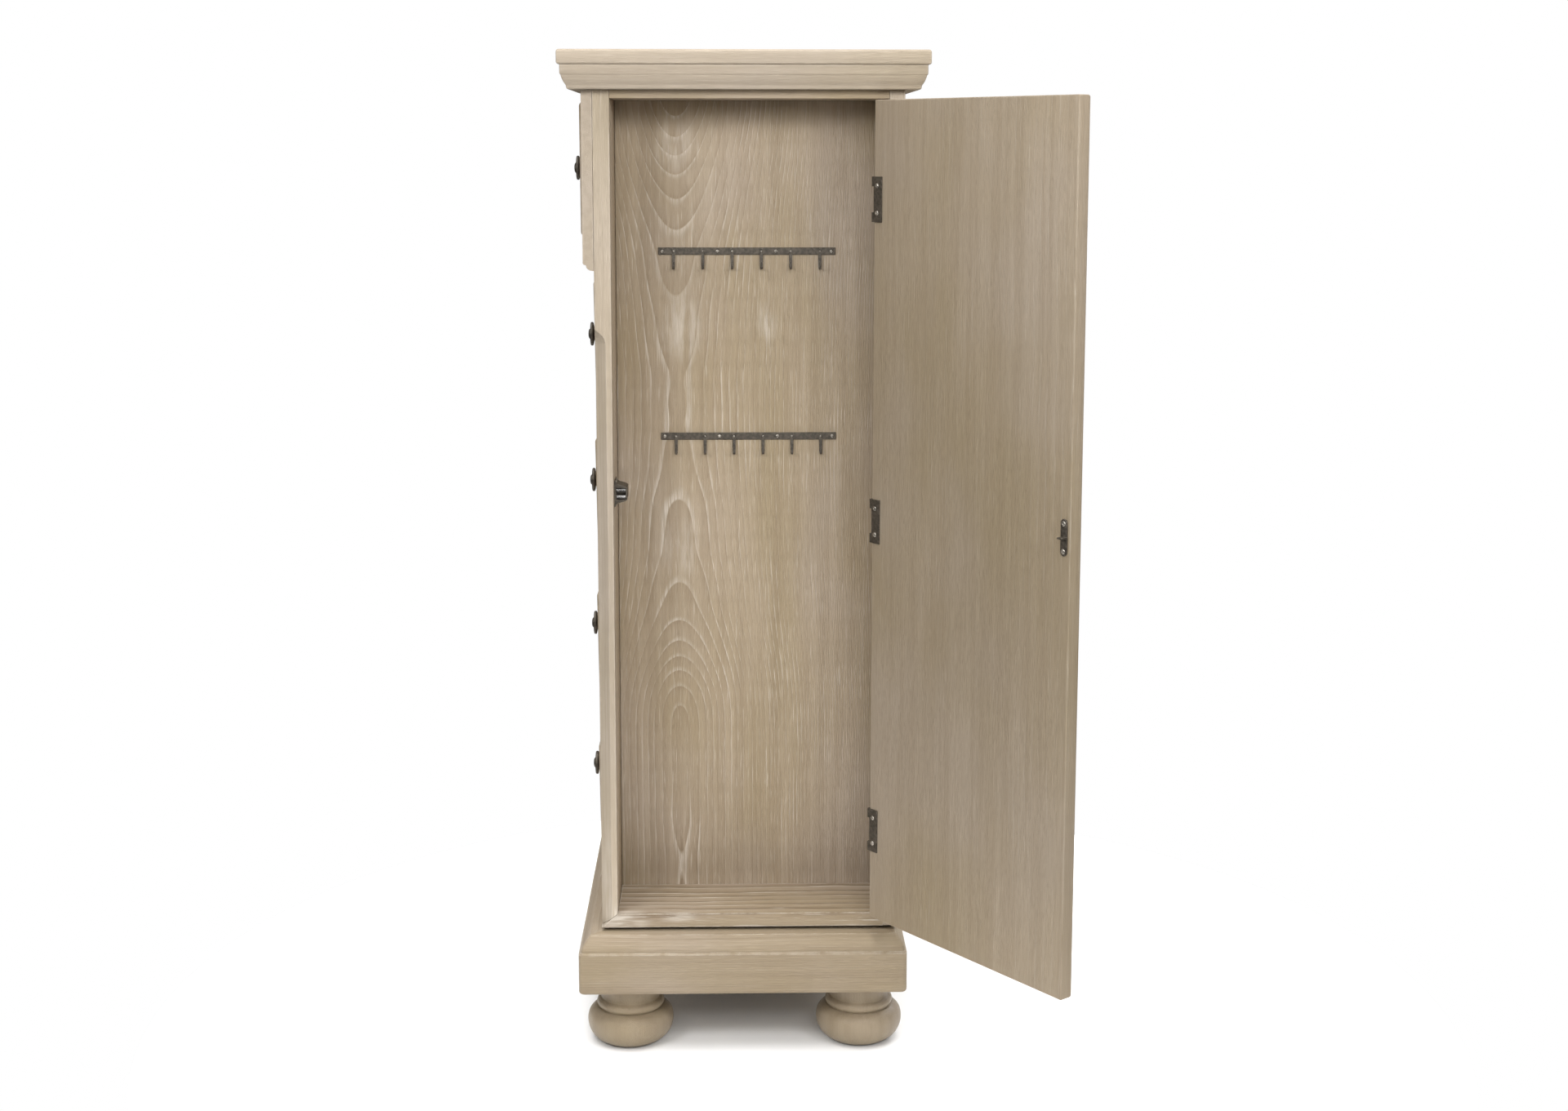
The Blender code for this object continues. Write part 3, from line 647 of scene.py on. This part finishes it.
def feet():
    outline = [point for part in (FOOT_BUN, FOOT_BEAD, FOOT_NECK) for point in smooth_profile(part, 4)]
    for side in ("front_left", "front_right", "back_left", "back_right"):
        node = f"bun_foot_{side}"
        low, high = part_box(node)
        profile = [(0.0, 0.0)] + outline + [(FOOT_NECK[-1][0], high.z), (0.0, high.z)]
        stand = Matrix.Translation(((low.x + high.x) / 2, (low.y + high.y) / 2, 0.0))
        # Painted shade: shade=0.74 darkens the feet because the light falls off towards the floor
        foot_wood_with_painted_shade = wood(f"foot_wood_{side}", "ZX", lines=0.05, wander=0.02, shade=0.74, rough=0.30,
                         late=0.3)
        piece(node + "_turned", *turned(profile, 96, stand), foot_wood_with_painted_shade, "case", (node,), sharp=50.0)


# ---------------------------------------------------------------- metalwork

GAP = 0.0003  # clearance between a knob and the front it is screwed to
KNOB_STEM = [(0.0090, GAP), (0.0090, 0.0014), (0.0082, 0.0022), (0.0062, 0.0032), (0.0052, 0.0060),
             (0.0053, 0.0095), (0.0070, 0.0125), (0.0100, 0.0141), (0.0148, 0.0150)]
KNOB_FACE = [(0.0163, 0.0156), (0.0165, 0.0164), (0.0165, 0.0178), (0.0160, 0.0187), (0.0148, 0.0191),
             (0.0136, 0.0189), (0.0124, 0.0185), (0.0100, 0.0185), (0.0076, 0.0188)]
KNOB_DOME = [(0.0072, 0.0193), (0.0071, 0.0202), (0.0060, 0.0213), (0.0038, 0.0220), (0.0012, 0.0222)]

# Screw and rivet heads, as (radius, height)
HINGE_SCREW = (0.0031, 0.0013)
STRIKE_SCREW = (0.0032, 0.0011)
CATCH_SCREW = (0.0022, 0.0009)
RAIL_SCREW = (0.0024, 0.0012)
RIVET = (0.0015, 0.0010)


def screw_head(radius, height):
    """A pan head with a small recess in the middle."""
    shares = ((1.0, 0.0), (1.0, 0.22), (0.93, 0.52), (0.74, 0.82), (0.48, 0.98), (0.34, 1.0), (0.27, 0.86),
              (0.20, 0.30), (0.0, 0.22))
    return [(r * radius, h * height) for r, h in shares]


def rivet_head(radius, height):
    dome = [(radius * math.cos(a), height * math.sin(a)) for a in (0.0, 0.3, 0.6, 0.9, 1.2, 1.4)]
    return dome + [(0.0, height)]


def knobs():
    profile = [(0.0, GAP)]
    for part in (KNOB_STEM, KNOB_FACE, KNOB_DOME):
        profile += smooth_profile(part, 3)
    profile.append((0.0, KNOB_DOME[-1][1]))
    for n in range(1, 6):
        node = f"drawer_{n}_knob"
        low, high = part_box(node)
        base = Vector(((low.x + high.x) / 2, high.y + GAP, (low.z + high.z) / 2))
        verts, faces = turned(profile, 48, facing(base, (0, -1, 0)))
        piece(node + "_turned", verts, faces, PEWTER, f"drawer_{n}", (node,), "dark_pewter", sharp=40.0)


def ribbon(path, widths, thicknesses, y):
    """A bent metal strip: path is its middle line in x and z, and it is centred on y."""
    rings = []
    for i, (x, z) in enumerate(path):
        before, after = path[max(i - 1, 0)], path[min(i + 1, len(path) - 1)]
        along = Vector((after[0] - before[0], after[1] - before[1])).normalized()
        out_x, out_z = -along.y * thicknesses[i] / 2, along.x * thicknesses[i] / 2
        w = widths[i] / 2
        rings.append([(x + out_x, y - w, z + out_z), (x + out_x, y + w, z + out_z),
                      (x - out_x, y + w, z - out_z), (x - out_x, y - w, z - out_z)])
    return loft(rings)


HOOK_START = 0.0204  # from the end of the strip to the first hook
HOOK_PITCH = 0.0389
HOOKS = 6
STRIP_HALF_HEIGHT = 0.0048
STRIP_THICKNESS = 0.0016
HOOK_WIDTH = 0.0042
HOOK_THICKNESS = 0.0013
BEND_RADIUS = 0.0050
END_SCREW = 0.0052  # from either end of the strip to its end screw


def hook_rail(label):
    """A strip with bent hooks, which taper towards their tips, and its rivets and screws."""
    node = f"hook_rail_{label}"
    low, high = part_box(node)
    wall, top = low.x, high.z
    middle = top - STRIP_HALF_HEIGHT
    bottom = middle - STRIP_HALF_HEIGHT
    strip = loft([[(wall + x, low.y + s, bottom + s), (wall + x, high.y - s, bottom + s),
                   (wall + x, high.y - s, top - s), (wall + x, low.y + s, top - s)]
                  for x, s in ((0.0, 0.0), (0.0012, 0.0), (STRIP_THICKNESS, 0.0005))])
    bend_x, bend_z = wall + 0.0078, middle - 0.0186
    path = [(wall + 0.0022, middle + 0.0034), (wall + 0.0022, middle - 0.0030),
            (wall + 0.0023, middle - 0.0090), (wall + 0.0026, middle - 0.0135)]
    path += [(bend_x - BEND_RADIUS * math.cos(a), bend_z - BEND_RADIUS * math.sin(a))
             for a in (math.pi * k / 10 for k in range(11))]
    path += [(bend_x + 0.0053, bend_z + 0.0028), (bend_x + 0.0060, bend_z + 0.0058)]
    last = len(path) - 1
    widths = [HOOK_WIDTH - 0.0028 * (max(i - 2, 0) / (last - 2)) ** 1.5 for i in range(last + 1)]
    thicknesses = [HOOK_THICKNESS - 0.0006 * max(i - 3, 0) / (last - 3) for i in range(last + 1)]
    starts = [low.y + HOOK_START + HOOK_PITCH * k for k in range(HOOKS)]
    hooks = [ribbon(path, widths, thicknesses, y) for y in starts]
    verts, faces = gather([strip] + hooks)
    piece(node + "_strip", verts, faces, PEWTER, "case", (node,), "dark_pewter", ease=0.00025)

    fixings = []
    for y in starts:
        place = Vector((wall + 0.0028, y, middle))
        fixings.append(turned(rivet_head(*RIVET), 20, facing(place, (1, 0, 0))))
    screws = (END_SCREW, HOOK_START + 1.5 * HOOK_PITCH, HOOK_START + 3.5 * HOOK_PITCH,
              high.y - low.y - END_SCREW)
    for along in screws:
        place = Vector((wall + STRIP_THICKNESS, low.y + along, middle))
        fixings.append(turned(screw_head(*RAIL_SCREW), 24, facing(place, (1, 0, 0))))
    screws_on(node + "_fixings", "case", fixings)


HINGE_SCREW_UP = 0.0172  # from the middle of a leaf to its screws
STRIKE_SCREW_UP = 0.0165
STRIKE_THICKNESS = 0.0021
SPIN = 0.4  # turn of the screws' facets, in radians
DOOR_INWARD = Matrix.Rotation(OPEN_ANGLE, 3, "Z") @ Vector((-1, 0, 0))


def screws_on(name, body, heads):
    piece(name, *gather(heads), SCREW_METAL, body, (), "roller_steel", sharp=60.0)


def hinge_screws():
    """Two screws in each leaf: the door's ride with the door."""
    on_door, on_case = [], []
    for n in range(1, 4):
        low, high = shut_corners(f"hinge_{n}_door_leaf")
        middle = (low.z + high.z) / 2
        for up in (-HINGE_SCREW_UP, HINGE_SCREW_UP):
            place = swung((low.x, low.y + 0.0088, middle + up))
            on_door.append(turned(screw_head(*HINGE_SCREW), 28, facing(place, DOOR_INWARD, SPIN)))
        low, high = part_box(f"hinge_{n}_case_leaf")
        for up in (-HINGE_SCREW_UP, HINGE_SCREW_UP):
            place = Vector((SIDE_X + 0.0015, high.y - 0.0062, middle + up))
            on_case.append(turned(screw_head(*HINGE_SCREW), 28, facing(place, (1, 0, 0), SPIN)))
    screws_on("hinge_screws_door", "door", on_door)
    screws_on("hinge_screws_case", "case", on_case)


def strike():
    """A thick plate with round ends, and the tongue that the rollers hold."""
    low, high = shut_corners("strike_plate")
    wall = high.x
    half_width, half_height = 0.0050, (high.z - low.z) / 2
    centre_y, centre_z = low.y + 0.0062, (low.z + high.z) / 2
    straight = half_height - half_width
    rings = []
    for depth, inset in ((0.0, 0.0), (0.0014, 0.0), (0.0019, 0.0003), (STRIKE_THICKNESS, 0.0010)):
        r = half_width - inset
        ring = []
        for k in range(24):
            a = 2 * math.pi * (k + 0.5) / 24
            up = straight if math.sin(a) > 0 else -straight
            ring.append(swung((wall - depth, centre_y + r * math.cos(a), centre_z + up + r * math.sin(a))))
        rings.append(ring)
    tongue_y = low.y + 0.0045
    sections = []
    for x, w, h in ((wall - 0.0010, 0.0040, 0.0010), (low.x + 0.0010, 0.0040, 0.0010),
                    (low.x, 0.0037, 0.0007)):
        corners = ((-w, -h), (w, -h), (w, h), (-w, h))
        sections.append([swung((x, tongue_y + across, centre_z + up)) for across, up in corners])
    verts, faces = gather([loft(rings), loft(sections)])
    piece("strike_body", verts, faces, PEWTER, "door", ("strike_plate",), "dark_pewter", ease=0.0002)
    heads = []
    for up in (-STRIKE_SCREW_UP, STRIKE_SCREW_UP):
        place = swung((wall - STRIKE_THICKNESS, centre_y, centre_z + up))
        heads.append(turned(screw_head(*STRIKE_SCREW), 28, facing(place, DOOR_INWARD)))
    screws_on("strike_screws", "door", heads)


def catch_screws():
    """Heads that hold the catch to the back of the front post, above and below the rollers."""
    low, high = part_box("catch_body")
    heads = []
    for z in (low.z + 0.0024, high.z - 0.0024):
        for shift in (-0.009, 0.009):
            place = Vector(((low.x + high.x) / 2 + shift, low.y + 0.0021, z))
            heads.append(turned(screw_head(*CATCH_SCREW), 24, facing(place, (0, 1, 0))))
    screws_on("catch_screws", "case", heads)


# ---------------------------------------------------------------- door


DOOR_ROUNDING = 0.0058  # round edge of the door's outer face


def door():
    low, high = shut_corners("door_panel")
    # Painted shade: shade=0.80 darkens the door because its inner face turns away from the lights; the
    # olive tint is the wood's own colour
    door_wood = wood("door_wood", "ZX", lines=0.40, wander=0.012, swing=True, wear=0.30, shade=0.80,
                     late=0.3, tint=OLIVE, tint_share=0.22)
    profile = [(low.x, 0.0008), (low.x + 0.0003, 0.0002), (low.x + 0.0009, 0.0)]
    for k in range(8):
        a = math.pi / 2 * k / 7
        profile.append((high.x - DOOR_ROUNDING * (1 - math.sin(a)), DOOR_ROUNDING * (1 - math.cos(a))))
    verts, faces = edged_slab(low, high, profile, "X")
    piece("door_board", [swung(v) for v in verts], faces, door_wood, "door", ("door_panel",), ease=0.0006)


# ---------------------------------------------------------------- build

crown()
plinth()
POST_SMUDGES = [((SIDE_X - 0.008, FRONT_Y + 0.010, POST[0].z + 0.06), (0.03, 0.012, 0.11), 0.35),
                ((SIDE_X, FRONT_Y + 0.020, POST[0].z + 0.01), (0.03, 0.012, 0.03), 0.8)]
post_wood = wood("post_wood", "ZX", lines=0.35, wander=0.01, wear=0.45, tint=WASHED, tint_share=0.22,
                 smudges=POST_SMUDGES)
for node in ("front_post_right", "front_post_left", "back_post_right", "back_post_left"):
    soften(node, post_wood, 0.0010)
soften("frieze_surround", wood("frieze_wood", "XY", lines=0.35, wander=0.01, wear=0.4, tint=WASHED,
                               tint_share=0.2), 0.0012)
soften("case_top", wood("case_top_wood", "YZ", lines=0.3, wander=0.01))
board("case_bottom", wood("case_bottom_wood", "YZ", lines=0.3))
board("side_panel_left", wood("side_panel_wood", "ZX", middle=(0.0, 0.75), cathedral=(0.11, 0.45),
                              lines=0.7, wander=0.010, pitch=0.0135))
board("back_panel", wood("back_panel_wood", "ZY", lines=0.3))
board("base_rail", wood("base_rail_wood", "XY", lines=0.4))
PANEL_MIDDLE = FRONT_Y + 0.103  # middle of the arched figure behind the hooks
PARTITION_SMUDGES = [
    ((HOOK_WALL_X, PANEL_MIDDLE + 0.006, 0.960), (0.05, 0.034, 0.060), 0.55),
    ((HOOK_WALL_X, PANEL_MIDDLE + 0.120, 0.970), (0.05, 0.018, 0.040), 0.45),
    ((HOOK_WALL_X, PANEL_MIDDLE + 0.004, 0.660), (0.05, 0.040, 0.060), 0.30),
    ((HOOK_WALL_X, PANEL_MIDDLE - 0.003, 1.200), (0.05, 0.040, 0.050), 0.35),
]
board("compartment_partition", wood("partition_wood", "ZX", middle=(PANEL_MIDDLE, 0.85),
                                    cathedral=(0.088, 0.92), lines=0.8, wander=0.020, pitch=0.0120,
                                    smudges=PARTITION_SMUDGES))
board("compartment_front_wall", wood("front_wall_wood", "ZY", lines=0.6))
# Painted shade: shade=0.72 darkens the compartment's rear wall to stand for the shade on it
board("compartment_rear_wall", wood("rear_wall_wood", "ZY", lines=0.6, shade=0.72))
MITRE_SMUDGES = [((SIDE_X - 0.006, FRONT_Y + 0.030, POST[0].z + 0.008), (0.03, 0.045, 0.020), 0.85),
                 ((SIDE_X - 0.004, FRONT_Y + 0.100, POST[0].z + 0.014), (0.02, 0.040, 0.010), 0.6)]
soften("compartment_floor", wood("compartment_floor_wood", "YZ", lines=1.3, wander=0.05, wear=0.6,
                                 late=6.0, pitch=0.080, smudges=MITRE_SMUDGES, shade=0.88))
for i in range(1, 5):
    board(f"divider_rail_{i}", wood(f"divider_wood_{i}", "XY", lines=0.4))
# Painted shade: shade=0.22 darkens this recessed board so that the gap under the case reads as a shadow
# line
board("shadow_gap_board", wood("gap_board_wood", "YZ", lines=0.2, shade=0.22))
feet()
tray_wood = wood("tray_wood", "YX", lines=0.2, wander=0.01, shade=1.1, rough=0.66)
for n in range(1, 6):
    soften(f"drawer_{n}_front", wood(f"drawer_front_wood_{n}", "XY", lines=0.6, wear=0.4), 0.0004)
    soften(f"drawer_{n}_box", tray_wood)
    soften(f"drawer_{n}_runner_frame", tray_wood)
knobs()
hook_rail("upper")
hook_rail("lower")
soften("catch_body", PEWTER, 0.0003)
catch_screws()
strike()
for n in range(1, 4):
    soften(f"hinge_{n}_case_leaf", PEWTER, 0.0002)
    soften(f"hinge_{n}_door_leaf", PEWTER, 0.0002)
for node in ("catch_roller_upper", "catch_roller_lower"):
    soften(node, ROLLER_STEEL, 0.0003)
hinge_screws()
door()


# ---------------------------------------------------------------- floor, light and camera


FLOOR_SEGMENTS = 96
FLOOR_REACH = 0.9
SKY_LOW = 0.06
SKY_HIGH = 0.35


def floor():
    """A pale disc under the chest, wide enough for its shadows."""
    turns = [2 * math.pi * i / FLOOR_SEGMENTS for i in range(FLOOR_SEGMENTS)]
    mesh = bpy.data.meshes.new("floor")
    mesh.from_pydata([(FLOOR_REACH * math.cos(a), FLOOR_REACH * math.sin(a), 0.0) for a in turns], [],
                     [list(range(FLOOR_SEGMENTS))])
    mesh.materials.append(paint("floor_paint", (0.90, 0.90, 0.90, 1.0), 0.9))
    obj = bpy.data.objects.new("floor", mesh)
    bpy.context.scene.collection.objects.link(obj)
    obj.location.z = -0.0005


def sky():
    """White behind the chest; as a light it is brightest overhead and faint near and below the horizon."""
    world = bpy.data.worlds.new("studio")
    world.use_nodes = True
    t = Tree(world.node_tree)
    background = world.node_tree.nodes["Background"]
    background.inputs["Color"].default_value = (1.0, 1.0, 1.0, 1.0)
    height = t.split(t.node("ShaderNodeTexCoord").outputs["Generated"])[2]
    light = t.add(SKY_LOW, t.times(t.ramp(height, -0.15, 0.75), SKY_HIGH - SKY_LOW))
    seen = t.node("ShaderNodeLightPath").outputs["Is Camera Ray"]
    strength = t.add(t.times(light, t.add(1.0, t.times(seen, -1.0))), seen)
    t.put(background.inputs["Strength"], strength)
    bpy.context.scene.world = world


def softbox(name, place, target, size, power):
    """A rectangular light, its size in metres and its power in watts, which the camera doesn't see."""
    light = bpy.data.lights.new(name, "AREA")
    light.shape = "RECTANGLE"
    light.size, light.size_y = size
    light.energy = power
    obj = bpy.data.objects.new(name, light)
    obj.location = place
    obj.rotation_euler = (Vector(target) - Vector(place)).to_track_quat("-Z", "Y").to_euler()
    obj.visible_camera = False
    bpy.context.scene.collection.objects.link(obj)


def soft_sun(name, comes_from, strength, spread):
    """Even light from a direction; a wide spread in degrees gives soft shadows."""
    light = bpy.data.lights.new(name, "SUN")
    light.energy = strength
    light.angle = math.radians(spread)
    obj = bpy.data.objects.new(name, light)
    obj.rotation_euler = Vector(comes_from).to_track_quat("Z", "Y").to_euler()
    bpy.context.scene.collection.objects.link(obj)


def studio():
    floor()
    sky()
    front = Vector((SIDE_X, FRONT_Y + 0.2, 0.0))
    upper = front + Vector((0, 0, 1.15))
    softbox("key_front", front + Vector((2.9, 0.25, 1.95)), upper, (1.5, 0.5), 21.0)
    softbox("key_left", front + Vector((1.35, -1.20, 1.60)), upper, (0.8, 0.5), 17.0)
    softbox("key_right", front + Vector((1.45, 1.25, 1.60)), upper, (0.8, 0.5), 18.0)
    softbox("upper_key", front + Vector((1.3, 0.0, 1.80)), upper, (0.6, 0.3), 3.2)
    lower = front + Vector((0, 0, 0.15))
    softbox("low_fill", front + Vector((2.2, 0.1, 0.40)), lower, (1.3, 0.3), 6.5)
    softbox("rear_fill", (-2.4, 2.0, 2.2), (0.0, 0.0, 0.8), (1.8, 1.2), 70.0)
    soft_sun("top_light", (0.06, -0.06, 1.0), 3.5, 50.0)
    bpy.context.scene.view_settings.view_transform = "Standard"


LENS = 47.5
SENSOR_WIDTH = 36.0
SHIFT_UP = -0.07
CAMERA_DISTANCE = 2.6475  # from the door side of the case
CAMERA_BESIDE = 0.1791  # behind the front of the posts
CAMERA_HEIGHT = 1.1971
CAMERA_PITCH, CAMERA_YAW, CAMERA_ROLL = 0.1426, 0.0239, -0.0010  # radians: down, towards the back, tilt


def camera():
    made = bpy.data.cameras.new("camera")
    made.lens = LENS
    made.sensor_width = SENSOR_WIDTH
    made.shift_y = SHIFT_UP
    obj = bpy.data.objects.new("camera", made)
    obj.location = (SIDE_X + CAMERA_DISTANCE, FRONT_Y + CAMERA_BESIDE, CAMERA_HEIGHT)
    obj.rotation_euler = (math.pi / 2 - CAMERA_PITCH, CAMERA_ROLL, math.pi / 2 - CAMERA_YAW)
    bpy.context.scene.collection.objects.link(obj)
    bpy.context.scene.camera = obj


studio()
camera()
